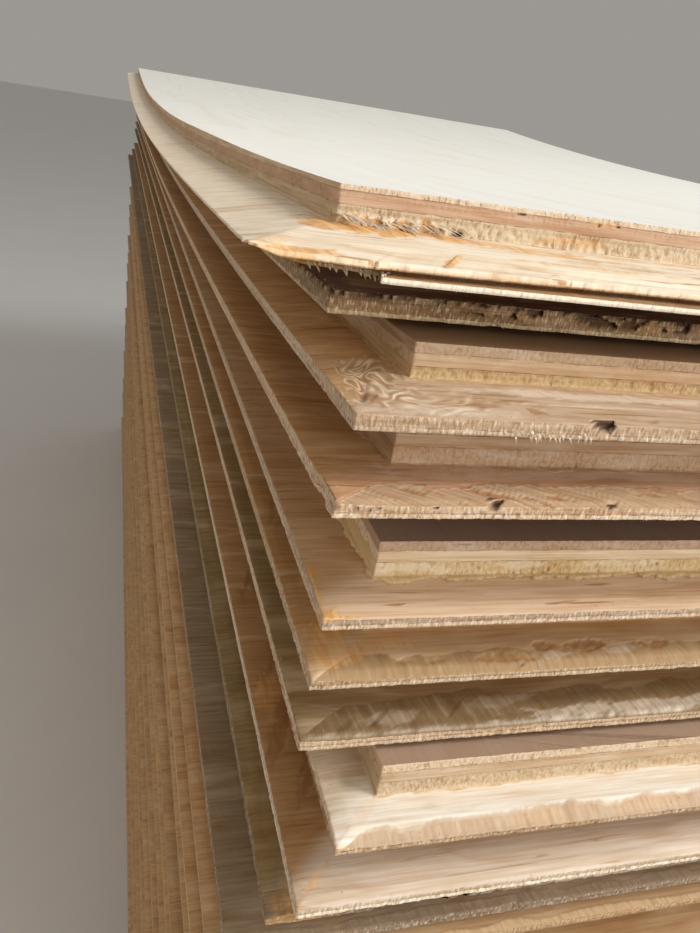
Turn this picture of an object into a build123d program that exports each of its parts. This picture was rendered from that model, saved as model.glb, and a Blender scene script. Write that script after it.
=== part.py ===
from build123d import *
import math
import os

# A stack of plywood sheets, in millimetres, lying flat with its lowest face at Z = 0.
# +Y runs along the sheets and +X across them. The near end faces -Y and the left side faces -X.
# Each sheet has a ledge milled into its top along the near end and the left side. What is left
# of the sheet under the ledge is a thin lip, which runs round the near left corner.

# One sheet
sheet_length = 2440.0
sheet_width = 1220.0
sheet_thickness = 18.0
lip_thickness = 4.5
end_ledge = 22.0
side_ledge = 22.0

# The stack
sheet_count = 60

# Warped sheets are flat in the middle and curl up towards both ends, the far end more
flat_middle = 140.0
curl_reach = (sheet_length - flat_middle) / 2
far_curl_share = 1.3

# The upper sheets have slid and warped, and their lips are broken back unevenly. From the top
# one down: slid across, slid along, curl of the near end, and how much wider than the usual
# ledge the side ledge and the end ledge are. A sheet curls less than the one above it, so that
# neighbours never meet on their curled ends.
upper_sheets = [
    (-20.4, 30.9, 30.6, 8.0, 11.0),
    (7.1, 50.2, 30.1, 2.0, 4.0),
    (6.4, 9.7, 28.4, 1.0, 5.0),
    (2.6, 4.0, 25.1, 1.0, 3.0),
    (7.2, 10.9, 4.0, -2.0, -3.0),
    (6.2, 9.8, 2.0, -1.0, -1.0),
    (4.6, 6.0, 1.0, 0.0, 0.0),
    (13.2, -14.7, 0.0, -6.0, -7.0),
    (3.3, -19.2, 0.0, -2.0, -2.0),
    (-1.5, -8.0, 0.0, 0.0, 0.0),
    (-11.5, -4.0, 0.0, 0.0, 0.0),
]

# The sheets below those are flat and lie nearly in line, each slid a little way on a slow wave
lower_slide_across = 5.0
lower_slide_along = 10.0
wave_step_across = 2.4
wave_step_along = 1.7


def sheet_state(level):
    """Slides, curl and extra ledge widths of a sheet, where level counts the sheets below it."""
    depth = sheet_count - 1 - level
    if depth < len(upper_sheets):
        return upper_sheets[depth]
    across = lower_slide_across * math.sin(wave_step_across * level)
    along = lower_slide_along * math.sin(wave_step_along * level)
    return (across, along, 0.0, 0.0, 0.0)


def bent_point(curl, reach, distance, height):
    """How far a point is from the end of a flat sheet, and its height, once the end is curled.

    The distance is measured along the underside from the end, and the reach is where the
    curled part of this sheet meets its flat middle.
    """
    if curl == 0.0:
        return (distance, height)
    radius = curl_reach ** 2 / (2 * curl)
    angle = (reach - distance) / radius
    inward = reach - (radius - height) * math.sin(angle)
    rise = radius - (radius - height) * math.cos(angle)
    return (inward, rise)


def end_edge(curl, reach, start, height, is_far):
    """The points and the edge of one end at one height, from its start to the flat middle."""
    points = []
    for distance in (start, (start + reach) / 2, reach):
        inward, rise = bent_point(curl, reach, distance, height)
        points.append((0, sheet_length - inward if is_far else inward, rise))
    if curl == 0.0:
        return points, Line(points[0], points[2])
    return points, ThreePointArc(*points)


def make_layer(along, curl, low, high, start, left):
    """The part of a sheet between two heights, set back by start at the near end and by left."""
    near = (curl, curl_reach - along, start)
    far = (curl * far_curl_share, curl_reach + along, 0.0)
    near_low_points, near_low = end_edge(*near, low, False)
    near_high_points, near_high = end_edge(*near, high, False)
    far_low_points, far_low = end_edge(*far, low, True)
    far_high_points, far_high = end_edge(*far, high, True)
    outline = make_face([
        near_low,
        Line(near_low_points[2], far_low_points[2]),
        far_low,
        Line(far_low_points[0], far_high_points[0]),
        far_high,
        Line(far_high_points[2], near_high_points[2]),
        near_high,
        Line(near_high_points[0], near_low_points[0]),
    ])
    layer = extrude(outline, amount=sheet_width - left, dir=(1, 0, 0))
    return Pos(left, 0, 0) * layer


def make_sheet(along, curl, wider_side, wider_end):
    """One sheet, with the near left corner of its flat outline at the origin."""
    side = side_ledge + wider_side
    end = end_ledge + wider_end
    lip = make_layer(along, curl, 0.0, lip_thickness, 0.0, 0.0)
    rest = make_layer(along, curl, lip_thickness, sheet_thickness, end, side)
    return lip + rest


def make_stack():
    """Every sheet of the stack by name, the lowest first."""
    stack = {}
    for level in range(sheet_count):
        across, along, curl, wider_side, wider_end = sheet_state(level)
        place = Pos(
            across - sheet_width / 2,
            along - sheet_length / 2,
            level * sheet_thickness,
        )
        sheet = make_sheet(along, curl, wider_side, wider_end)
        stack[f"sheet_{level + 1:02d}"] = place * sheet
    return stack


os.makedirs("parts", exist_ok=True)
for name, solid in make_stack().items():
    export_step(solid, f"parts/{name}.step")
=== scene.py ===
import math
import random

import bpy
import numpy as np
from mathutils import Matrix, Vector


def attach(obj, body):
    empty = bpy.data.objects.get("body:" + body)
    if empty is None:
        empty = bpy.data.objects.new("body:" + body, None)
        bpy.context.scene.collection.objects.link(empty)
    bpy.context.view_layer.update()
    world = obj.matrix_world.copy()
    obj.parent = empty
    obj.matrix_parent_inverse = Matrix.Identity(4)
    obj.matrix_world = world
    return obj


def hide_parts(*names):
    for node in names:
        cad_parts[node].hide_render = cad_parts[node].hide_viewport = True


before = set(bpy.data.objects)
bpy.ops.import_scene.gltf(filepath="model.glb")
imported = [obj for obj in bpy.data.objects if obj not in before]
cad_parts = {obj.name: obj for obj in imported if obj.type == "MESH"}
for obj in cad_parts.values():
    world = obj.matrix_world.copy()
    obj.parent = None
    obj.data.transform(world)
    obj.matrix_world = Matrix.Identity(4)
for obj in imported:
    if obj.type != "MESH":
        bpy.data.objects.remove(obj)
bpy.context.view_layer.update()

# Lengths are in millimetres until a mesh is made, and each sheet is first shaped flat: s runs
# across it from its left edge, t runs along it from its near end, and h is up from its underside.
MM = 0.001

SHEET_LENGTH = 2440.0
SHEET_WIDTH = 1220.0
THICKNESS = 18.0
SHEET_COUNT = 60
FLAT_MIDDLE = 140.0
CURL_REACH = (SHEET_LENGTH - FLAT_MIDDLE) / 2
FAR_CURL_SHARE = 1.3

# Heights of the tops of the plies above a sheet's underside
PLY_TOPS = (1.3, 4.5, 9.6, 13.4, 18.0)

# A sheet that is thinner than the rest is so only near its end: from where to where it thickens
THIN_FROM = 40.0
THIN_TO = 500.0

# How much flatter the outer slope of a ledge is along the left side than along the near end
LEFT_LEVELLING = 0.75
LEVELLED_SLOPE = 10.0

# The usual ledge, and how the sheets below the upper ones lie
LEDGE = 22.0
LIP = 4.5
LOWER_SLIDE_ACROSS = 5.0
LOWER_SLIDE_ALONG = 10.0
WAVE_STEP_ACROSS = 2.4
WAVE_STEP_ALONG = 1.7

# Colours of the woods, of what has got onto them, and of painted shade
WHITE_WOOD = (0.90, 0.82, 0.69)
CREAM = (0.84, 0.68, 0.49)
PALE_TAN = (0.76, 0.55, 0.35)
TAN = (0.58, 0.37, 0.20)
PINK_TAN = (0.72, 0.48, 0.32)
YELLOW_TAN = (0.77, 0.59, 0.35)
GREY_TAN = (0.50, 0.37, 0.24)
# painted shade: a dark brown for top faces that lie in the shade of the sheet above
PAINTED_SHADE_BROWN = (0.26, 0.16, 0.09)
MAUVE_BROWN = (0.36, 0.25, 0.18)
MOULD = (0.12, 0.095, 0.05)
LIP_GREY = (0.72, 0.57, 0.43)
LOWER_LIP = (0.60, 0.43, 0.26)
# painted shade: a warmer colour that the lower sheets' ledges take on the shaded left side
LOWER_SHADED_LEFT = (0.62, 0.42, 0.225)
RESIN = (0.66, 0.28, 0.05)
PALE_RESIN = (0.80, 0.50, 0.20)
TORN_BROWN = (0.33, 0.18, 0.08)
# dark streaks and spots, and painted shade in voids, notches, pits and cracks
DARK_STAIN_AND_SHADE = (0.050, 0.020, 0.010)

# How stained, dark and pale the splinters of a fringe may be
WHITE_SPLINTERS = ((0.0, 0.0, 0.9), (0.0, 0.0, 0.8), (0.0, 0.0, 0.6), (0.3, 0.0, 0.3))
BROWN_SPLINTERS = ((0.5, 0.3, 0.0), (0.3, 0.4, 0.0), (0.5, 0.1, 0.1), (0.2, 0.1, 0.4))


def look(across, along, curl, side, end, lip, front, slope, plies, ledge, **more):
    """How one of the upper sheets lies, how its ledge is shaped and what its wood is like.

    side and end are the widths of the ledge. lip is the height of the ledge at the wall, front
    its height at the outer edge, and slope how far in from the edge it has risen. plies are the
    colours from the underside up. strip is the torn band along the outer edge and back the one
    along the wall: its width, how much the width wanders, how deep it is and its colour. marks are
    places where the wood is damaged, left is the ledge's colour on the left side, a painted
    shade for that side, which lies in shade, and thin is how much thinner than the rest the sheet
    is at its near end.
    """
    sheet = dict(
        across=across, along=along, curl=curl, side=side, end=end,
        lip=lip, front=front, slope=slope, plies=plies, ledge=ledge,
        tear=0.3, figure=0.2, streak=0.35, stain=0.1, mould=0.0, gloss=0.0, rough_wall=0.5,
        strip=(0.0, 0.0, 0.0, CREAM), back=(0.0, 0.0, 0.0, CREAM), slant=0.3, marks=(),
        split=False, pitted=False, fine=1.0, face=CREAM, left=None, thin=0.0, fringes=(),
    )
    sheet.update(more)
    return sheet


# From the top one down. A line of marks gives their kind and the part of the sheet they are on,
# and then for each mark where it is along the ledge from the corner, its half length, where it is
# on that part (in from the edge on the ledge, up from the underside elsewhere), its half width
# there, and how strong it is. A fringe of splinters gives the part it hangs from, where it starts
# and ends along the ledge, how many splinters it has, how long they are, how steeply they fall and
# how stained, dark and pale they may be.
# A left colour is painted shade: the same ply takes a darker, more saturated colour on the left side, which
# lies in shade.
UPPER_SHEETS = [
    look(
        -20.4, 30.9, 30.6, 30, 33, 4.5, 0.5, 26,
        (WHITE_WOOD, (0.74, 0.56, 0.38), (0.68, 0.57, 0.42), (0.62, 0.44, 0.32), (0.74, 0.62, 0.49)),
        (0.90, 0.83, 0.70), tear=0.2, figure=0.25, streak=1, gloss=0.5, rough_wall=1.2,
        face=(0.96, 0.98, 0.96), split=True, thin=3,
        fringes=(
            ("wall", -2, 40, 48, 15, 0.14, WHITE_SPLINTERS),
            ("lip", 8, 34, 60, 2.4, 0.9, BROWN_SPLINTERS),
        ),
        marks=(
            ("void", "wall", (37, 1.7, 5.3, 0.9, 3), (58, 2.2, 15.4, 0.35, 0.8),
             (85, 1.4, 15.2, 0.45, 0.9), (92.5, 1.6, 15.8, 0.5, 0.9)),
            ("resin", "wall", (88, 8, 15.8, 1.6, 0.35), (74, 15, 7.5, 2.2, 0.45)),
            ("fuzz", "wall", (14, 26, 6.4, 2.6, 1)),
            ("resin", "ledge", (12, 32, 27, 8, 1.3), (14, 14, 1, 2, 0.5), (0, 24, 30, 1.3, 0.8),
             (-6, 20, 22, 1, 0.6), (44, 24, 27, 1.3, 0.7), (58, 26, 24.5, 1.3, 0.9),
             (66, 24, 22.5, 1.3, 0.9), (84, 30, 20, 1.3, 0.8), (90, 30, 13, 1.3, 0.6),
             (116, 30, 26, 1.3, 0.8), (49.5, 2, 5, 8, 1), (12, 9, 1.5, 4, 0.9), (1, 4, 6, 5, 0.5)),
            ("resin", "lip", (12, 13, 0.2, 0.6, 0.7)),
            ("dark", "ledge", (48.6, 0.5, 4, 6.5, 0.6)),
            ("chip", "lip", (-1, 3, 0.5, 2.5, 1)),
        ),
    ),
    look(
        7.1, 50.2, 30.1, 24, 26, 6.5, 6.3, 4,
        # The ledge's near-black colour is painted shade: this ledge lies under the lip of the sheet above
        ((0.55, 0.43, 0.28), (0.34, 0.235, 0.13), (0.37, 0.26, 0.15), TAN, TAN), (0.13, 0.05, 0.022),
        tear=1, stain=0, rough_wall=0.8, pitted=True,
        marks=(
            ("resin", "lip", (60, 14, 3.6, 1.2, 0.25), (104, 16, 3.4, 1.4, 0.25)),
            ("dark", "lip", (-20, 20, 3.5, 3.5, 0.3), (10, 14, 5.5, 1.2, 0.5)),
            ("resin", "ledge", (20, 60, 18, 8, 0.25)),
        ),
    ),
    look(
        6.4, 9.7, 28.4, 23, 27, 6.3, 4.1, 20,
        ((0.60, 0.48, 0.36), (0.60, 0.49, 0.37), (0.56, 0.42, 0.24), (0.58, 0.43, 0.29), (0.46, 0.34, 0.23)),
        (0.56, 0.42, 0.30), tear=0.35, figure=0.8, streak=0.8, stain=0, rough_wall=0.8, thin=1.6,
        left=(0.54, 0.35, 0.18), fringes=(("lip", 40, 66, 20, 6.5, 0.6, WHITE_SPLINTERS),),
        # painted shade: the top face is dark brown for the shade under the sheet above
        face=PAINTED_SHADE_BROWN, back=(2.4, 1.5, -0.2, (0.58, 0.43, 0.25)), slant=0.7,
        marks=(
            ("notch", "lip", (68, 4.6, 4.1, 2.6, 3.2)),
            ("swirl", "ledge", (-14, 20, 12, 13, 0.85), (16, 26, 9, 9, 0.7)),
            ("torn", "ledge", (-14, 6, 10, 6, 0.9), (28, 6, 10, 2.4, 0.6), (45, 4, 8, 3, 0.6),
             (80, 5, 5, 2.2, 0.6), (104, 9, 8, 1.6, 0.5)),
            ("pale", "ledge", (20, 26, 4, 4, 0.35), (60, 50, 19, 3, 0.4), (90, 50, 12, 1, 0.35)),
            ("dark", "ledge", (30, 9, 16, 0.25, 0.45), (8, 7, 20, 0.3, 0.45)),
            ("resin", "wall", (-5, 10, 6, 2, 0.2)),
        ),
    ),
    look(
        2.6, 4, 25.1, 23, 25, 4.5, 3.4, 3,
        ((0.74, 0.60, 0.46), (0.66, 0.51, 0.37), (0.54, 0.38, 0.25), (0.58, 0.42, 0.28), TAN),
        (0.66, 0.42, 0.27), tear=0.6, figure=0.9, streak=0.7, stain=0, rough_wall=0.8,
        # painted shade: the top face is dark brown for the shade under the sheet above
        left=(0.55, 0.33, 0.15), face=PAINTED_SHADE_BROWN, strip=(11, 3.5, 0.4, (0.57, 0.40, 0.26)),
        back=(2.5, 2, 0, (0.60, 0.42, 0.28)), slant=1.3,
        marks=(
            ("notch", "lip", (43, 2.4, 3.4, 1.6, 3), (78, 2.4, 3.4, 1, 1.6)),
            ("dark", "ledge", (41, 1.6, 4.4, 1.6, 0.8), (19, 10, 11, 0.3, 0.5)),
            ("torn", "ledge", (36, 3.4, 8.5, 3.6, 1.2), (14, 2, 9, 3, 0.9), (24, 2, 7, 3.6, 0.9),
             (29, 1.4, 4, 3, 0.7), (53, 1.6, 4, 3.4, 0.9), (60, 3, 5, 2, 0.8), (90, 6, 8, 2, 0.6),
             (110, 3, 6, 3, 0.6)),
            ("void", "lip", (6, 0.6, 2.6, 0.4, 0.8), (9.5, 0.5, 2.4, 0.4, 0.8),
             (12, 0.6, 2.7, 0.4, 0.8), (27, 1.2, 2.9, 0.3, 0.7)),
            # painted light: a pale band along the back of the ledge lifts the shade that the sheet above
            # casts there
            ("pale", "ledge", (70, 70, 20, 3.5, 0.35)),
            ("chip", "lip", (-8, 9, 2, 3, 1)),
        ),
    ),
    look(
        7.2, 10.9, 4, 20, 19, 4.5, 3.2, 5,
        (LIP_GREY, (0.52, 0.43, 0.34), (0.78, 0.62, 0.37), (0.84, 0.71, 0.52), (0.52, 0.38, 0.27)),
        (0.78, 0.58, 0.41), tear=0.1, figure=0.3, streak=0.9, stain=0, rough_wall=1,
        left=(0.58, 0.38, 0.21), thin=1.2,
        # painted shade: the top face is dark brown for the shade under the sheet above
        face=(0.32, 0.22, 0.165), back=(2.6, 3, -0.7, (0.80, 0.65, 0.39)), slant=0,
        marks=(
            ("resin", "ledge", (4, 9, 0.5, 1.1, 1), (0, 3, 1.6, 3, 1), (-10, 6, 0.6, 1.2, 0.9),
             (-20, 5, 1, 1.4, 0.9)),
            ("resin", "lip", (-2, 8, 3, 0.8, 0.9)),
            ("pale", "wall", (12, 16, 7.5, 2.2, 0.5), (48, 12, 8, 1.8, 0.5), (84, 18, 8.5, 1.6, 0.4)),
            ("dark", "wall", (30, 14, 16.6, 0.3, 0.5)),
            ("dark", "ledge", (20, 6, 14, 0.2, 0.4), (9, 6, 11, 0.2, 0.4)),
        ),
    ),
    look(
        6.2, 9.8, 2, 21, 21, 4.5, 2.6, 3,
        ((0.62, 0.50, 0.36), (0.56, 0.43, 0.29), YELLOW_TAN, PALE_TAN, TAN), (0.66, 0.47, 0.28),
        figure=0.25, streak=0.3, stain=0,
        # The dark band along the outer edge is partly torn wood and partly painted shade that takes back the
        # light falling on the front of the ledge
        strip=(8, 2.5, 0.1, (0.42, 0.285, 0.15)), slant=0.1, left=(0.50, 0.29, 0.12),
        marks=(
            ("torn", "ledge", (30, 8, 5, 1.2, 0.6), (58, 10, 5, 2.2, 0.8), (72, 8, 9, 2.4, 1),
             (86, 9, 9.5, 3, 1.2), (112, 6, 8, 2.4, 0.7), (-90, 18, 10, 8, 0.5)),
            ("resin", "ledge", (12, 14, 14, 4, 0.45), (-8, 16, 9, 8, 0.6), (-44, 12, 12, 7, 0.5)),
            ("pale", "ledge", (76, 7, 5, 2.6, 0.25), (100, 7, 6, 3, 0.25)),
            ("dark", "ledge", (66, 0.7, 1.5, 0.6, 0.7)),
        ),
    ),
    look(
        4.6, 6, 1, 22, 22, 4.5, 3, 2,
        ((0.68, 0.55, 0.40), (0.66, 0.52, 0.37), YELLOW_TAN, PALE_TAN, TAN), (0.29, 0.20, 0.11),
        tear=0.35, figure=0.1, streak=0.3,
        strip=(14, 3, 0.1, (0.215, 0.145, 0.072)), slant=0.15, left=(0.26, 0.18, 0.08),
        marks=(
            ("pale", "ledge", (70, 90, 0.3, 1.6, 0.3), (116, 46, 3.4, 3.6, 0.38),
             (60, 12, 10, 3, 0.15), (24, 8, 6, 4, 0.2)),
            ("torn", "ledge", (112, 8, 3, 1.2, 0.5)),
            ("dark", "ledge", (84, 14, 10, 3, 0.25), (44, 0.9, 8, 4, 0.4), (20, 1.2, 6, 4, 0.4),
             (11, 2, 5, 3, 0.35)),
        ),
    ),
    look(
        13.2, -14.7, 0, 16, 15, 4.7, 1.7, 5,
        (GREY_TAN, PALE_TAN, (0.62, 0.50, 0.35), (0.60, 0.46, 0.32), (0.70, 0.56, 0.41)),
        (0.86, 0.83, 0.76), tear=0.2, figure=0.1, streak=0.05, stain=0, gloss=0.5,
        rough_wall=0.4, face=MAUVE_BROWN, strip=(4.4, 1.8, 0.4, (0.56, 0.42, 0.29)), thin=1.5,
        left=(0.62, 0.54, 0.44),
        back=(0.6, 1.2, 0, (0.66, 0.52, 0.33)), slant=0.1,
        marks=(
            ("resin", "ledge", (0, 4, 9, 7, 0.2), (60, 12, 2.5, 2, 0.2), (100, 16, 3, 2, 0.2)),
        ),
    ),
    look(
        3.3, -19.2, 0, 20, 20, 4.5, 3, 3,
        (WHITE_WOOD, (0.66, 0.57, 0.45), PINK_TAN, PINK_TAN, PALE_TAN), (0.70, 0.61, 0.51),
        tear=0.1, figure=0.3, streak=0.5, stain=0, slant=0, left=(0.43, 0.26, 0.12),
        marks=(
            ("resin", "ledge", (-1, 3, 6, 7, 0.45), (30, 8, 5, 0.7, 0.3), (-80, 12, 6, 5, 0.4)),
            ("torn", "ledge", (-34, 7, 12, 9, 0.7), (-62, 9, 10, 9, 0.9), (-98, 9, 12, 10, 0.9),
             (-150, 14, 12, 10, 0.7)),
        ),
    ),
    look(
        -1.5, -8, 0, 22, 22, 4.5, 2.5, 6,
        ((0.34, 0.27, 0.19), (0.30, 0.23, 0.15), TAN, PALE_TAN, TAN), (0.29, 0.245, 0.18),
        tear=0.5, figure=0.4, streak=0.5, mould=0.3, fine=1.5,
        strip=(3, 2.5, 0.4, (0.20, 0.145, 0.09)), slant=0.1, left=(0.34, 0.25, 0.12),
        marks=(
            ("resin", "lip", (6, 16, 2, 2.5, 0.4)),
            # painted shade: this dark mark darkens the chip in the lip at the same place
            ("dark", "lip", (46, 26, 1.6, 3.4, 0.75)),
            ("chip", "lip", (46, 24, 1.6, 3.4, 2.5)),
            ("pale", "lip", (112, 36, 2, 3, 0.3)),
            ("torn", "ledge", (46, 30, 4, 6, 1.3)),
            ("dark", "ledge", (36, 10, 3, 4, 0.8), (56, 13, 3, 4, 0.75), (66, 5, 5, 1.5, 0.6)),
            ("resin", "ledge", (4, 10, 8, 8, 0.4)),
        ),
    ),
    look(
        -11.5, -4, 0, 22, 22, 4.5, 3.5, 3,
        ((0.34, 0.27, 0.20), (0.36, 0.28, 0.20), TAN, PINK_TAN, PALE_TAN), (0.34, 0.27, 0.20),
        tear=0.4, figure=0.3, streak=0.5, fine=1.7,
        strip=(3, 2, 0.3, (0.32, 0.25, 0.18)), left=(0.30, 0.235, 0.155),
    ),
]

# The kinds of wood that take turns below them: the plies, the ledge and how mouldy it is
LOWER_WOODS = [
    (LOWER_LIP, LOWER_LIP, PALE_TAN, CREAM, PALE_TAN, (0.48, 0.34, 0.20), 0.0),
    (LOWER_LIP, YELLOW_TAN, PALE_TAN, PALE_TAN, PALE_TAN, (0.54, 0.38, 0.21), 0.0),
    (LOWER_LIP, LOWER_LIP, YELLOW_TAN, PALE_TAN, PALE_TAN, (0.50, 0.33, 0.20), 0.0),
    (GREY_TAN, LOWER_LIP, PALE_TAN, PALE_TAN, GREY_TAN, (0.44, 0.33, 0.20), 0.2),
    (LOWER_LIP, CREAM, PINK_TAN, PALE_TAN, CREAM, (0.54, 0.37, 0.22), 0.0),
    (LOWER_LIP, PALE_TAN, PALE_TAN, PALE_TAN, YELLOW_TAN, (0.50, 0.35, 0.20), 0.0),
]


def lower_look(level):
    """A flat sheet in the lower part of the stack, where level counts the sheets below it."""
    *plies, ledge, mould = LOWER_WOODS[(level * 5 + level // 4) % len(LOWER_WOODS)]
    return look(
        LOWER_SLIDE_ACROSS * math.sin(WAVE_STEP_ACROSS * level),
        LOWER_SLIDE_ALONG * math.sin(WAVE_STEP_ALONG * level),
        0.0, LEDGE, LEDGE, LIP, 3.2, 5.0, tuple(plies), ledge,
        figure=0.3, streak=0.4, stain=0.15, mould=mould, fine=0.0,
        strip=(2.0, 2.0, 0.3, LOWER_LIP), left=LOWER_SHADED_LEFT,
    )


# Noise that is the same on every run


def lattice(i, j, seed):
    """A number from -1 to 1 for each pair of whole numbers."""
    n = (i.astype(np.int64) * 374761393 + j.astype(np.int64) * 668265263 + seed * 974634777) & 0xFFFFFFFF
    n = ((n ^ (n >> 13)) * 1274126177) & 0xFFFFFFFF
    n = (n ^ (n >> 16)) & 0xFFFFFF
    return n / 0x7FFFFF - 1.0


def noise(x, y, seed):
    """Smooth noise from -1 to 1 over two arrays of coordinates, with bumps one unit across."""
    x, y = np.broadcast_arrays(np.asarray(x, float), np.asarray(y, float))
    i, j = np.floor(x), np.floor(y)
    u, v = x - i, y - j
    u, v = u * u * (3 - 2 * u), v * v * (3 - 2 * v)
    low = lattice(i, j, seed) * (1 - u) + lattice(i + 1, j, seed) * u
    high = lattice(i, j + 1, seed) * (1 - u) + lattice(i + 1, j + 1, seed) * u
    return low * (1 - v) + high * v


def rough(x, y, seed, octaves=3):
    """Layers of noise, each half as large and half as strong as the last."""
    total = 0.0
    for k in range(octaves):
        total = total + noise(x * 2 ** k, y * 2 ** k, seed + 17 * k) * 0.5 ** k
    return total / (2 - 0.5 ** (octaves - 1))


def ramp(x, start, end):
    """0 before start and 1 after end, with a smooth rise between."""
    k = np.clip((x - start) / (end - start), 0.0, 1.0)
    return k * k * (3 - 2 * k)


# The sheets' shape


def bend(s, t, h, sheet, level):
    """Flat sheet coordinates to a place in the frame, in metres."""
    y, z = t.copy(), h.copy()
    if sheet["curl"] > 0:
        near_reach = CURL_REACH - sheet["along"]
        far_reach = CURL_REACH + sheet["along"]
        radius = CURL_REACH ** 2 / (2 * sheet["curl"])
        part = t < near_reach
        angle = (near_reach - t[part]) / radius
        y[part] = near_reach - (radius - h[part]) * np.sin(angle)
        z[part] = radius - (radius - h[part]) * np.cos(angle)
        radius = radius / FAR_CURL_SHARE
        part = SHEET_LENGTH - t < far_reach
        angle = (far_reach - SHEET_LENGTH + t[part]) / radius
        y[part] = SHEET_LENGTH - far_reach + (radius - h[part]) * np.sin(angle)
        z[part] = radius - (radius - h[part]) * np.cos(angle)
    x = s + sheet["across"] - SHEET_WIDTH / 2
    y = y + sheet["along"] - SHEET_LENGTH / 2
    z = z + level * THICKNESS
    return np.stack([x, y, z], -1) * MM


def stations(total, fine, fine_to, growth, widest):
    """Distances from the near left corner, close together there and wider apart further off."""
    places = [0.0]
    step = fine
    while places[-1] + step < total:
        places.append(places[-1] + step)
        if places[-1] > fine_to:
            step = min(step * growth, widest)
    places[-1] = total
    return np.array(places)


def path_of(sheet):
    """Signed distances from the corner along the ledge, negative on the left side."""
    if sheet["fine"]:
        near = stations(SHEET_WIDTH, 0.56 * sheet["fine"], 138.0, 1.06, 14.0)
        left = stations(SHEET_LENGTH, 0.7 * sheet["fine"], 36.0, 1.03, 30.0)
    else:
        near = stations(SHEET_WIDTH, 4.0, 60.0, 1.10, 40.0)
        left = stations(SHEET_LENGTH, 4.0, 60.0, 1.10, 60.0)
    return np.concatenate([-left[::-1], near[1:]])


def profile_of(sheet):
    """Rows of the profile from the underside up: share of the ledge's width, height and part."""
    if sheet["fine"]:
        lip_rows, ledge_step, wall_step = 8, 0.85, 0.62
    else:
        lip_rows, ledge_step, wall_step = 2, 6.0, 4.5
    rows = [(VENEER_KEPT_LOW / sheet["end"], 0.0, 0)] if sheet["split"] else []
    for k in range(lip_rows + 1):
        rows.append((0.0, sheet["front"] * k / lip_rows, 0))
    width = sheet["end"]
    count = max(3, round(width / ledge_step))
    for k in range(1, count + 1):
        inward = width * k / count
        rise = sheet["lip"] - sheet["front"]
        height = sheet["front"] + rise * min(1.0, inward / sheet["slope"])
        rows.append((k / count, height, 1))
    count = max(3, round((THICKNESS - sheet["lip"]) / wall_step))
    for k in range(1, count + 1):
        height = sheet["lip"] + (THICKNESS - sheet["lip"]) * k / count
        rows.append((1.0, height, 2))
    return rows


def ply_at(h):
    """Which ply a height is in, 0 at the underside."""
    return np.searchsorted(np.array(PLY_TOPS[:-1]), h)


PART_CODES = {"lip": 0, "ledge": 1, "wall": 2}
FACE_PART = 3
PLAIN_EDGE_PART = 4
SPLINTER_PART = 5

# Where a sheet has no torn band, every point counts as this far outside one. The band along the
# outer edge ends at the corner: from where to where it does, and how far outside the rest counts.
OUTSIDE = -5.0
STRIP_ENDS = (-6.0, 8.0)
OUTSIDE_ON_LEFT = 30.0

# Wear fades out where the points along the ledge are further apart than this
WEAR_SPACING = 1.3

# A split lip: how far its bottom veneer and the rest have dropped, how far the rest is set back
# behind the veneer, where the veneer has broken off and how far back, and how deep the crack is
VENEER_DROP = 6.0
VENEER = 1.5
LIP_DROP = 3.0
SET_BACK = 3.0
CRACK_WIDENS = 3.0
BROKEN_TO = 33.0
BROKEN_BACK = 9.0
VENEER_KEPT_LOW = 12.0
CRACK_DEPTH = 4.0

# How far the height between two plies wanders, how thick a glue line is and the share of it that
# is darkest, how rough and shiny each part of a sheet is, and how deep its finest grain is
PLY_WANDER = 0.7
GLUE_LINE = 0.16
GLUE_LINE_CORE = 0.3
END_ROUGHNESS = 0.85
LEDGE_ROUGHNESS = 0.62
FACE_ROUGHNESS = 0.6
SPECULAR = 0.3
BUMP_STRENGTH = 0.55
BUMP_DEPTH = 0.6


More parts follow.
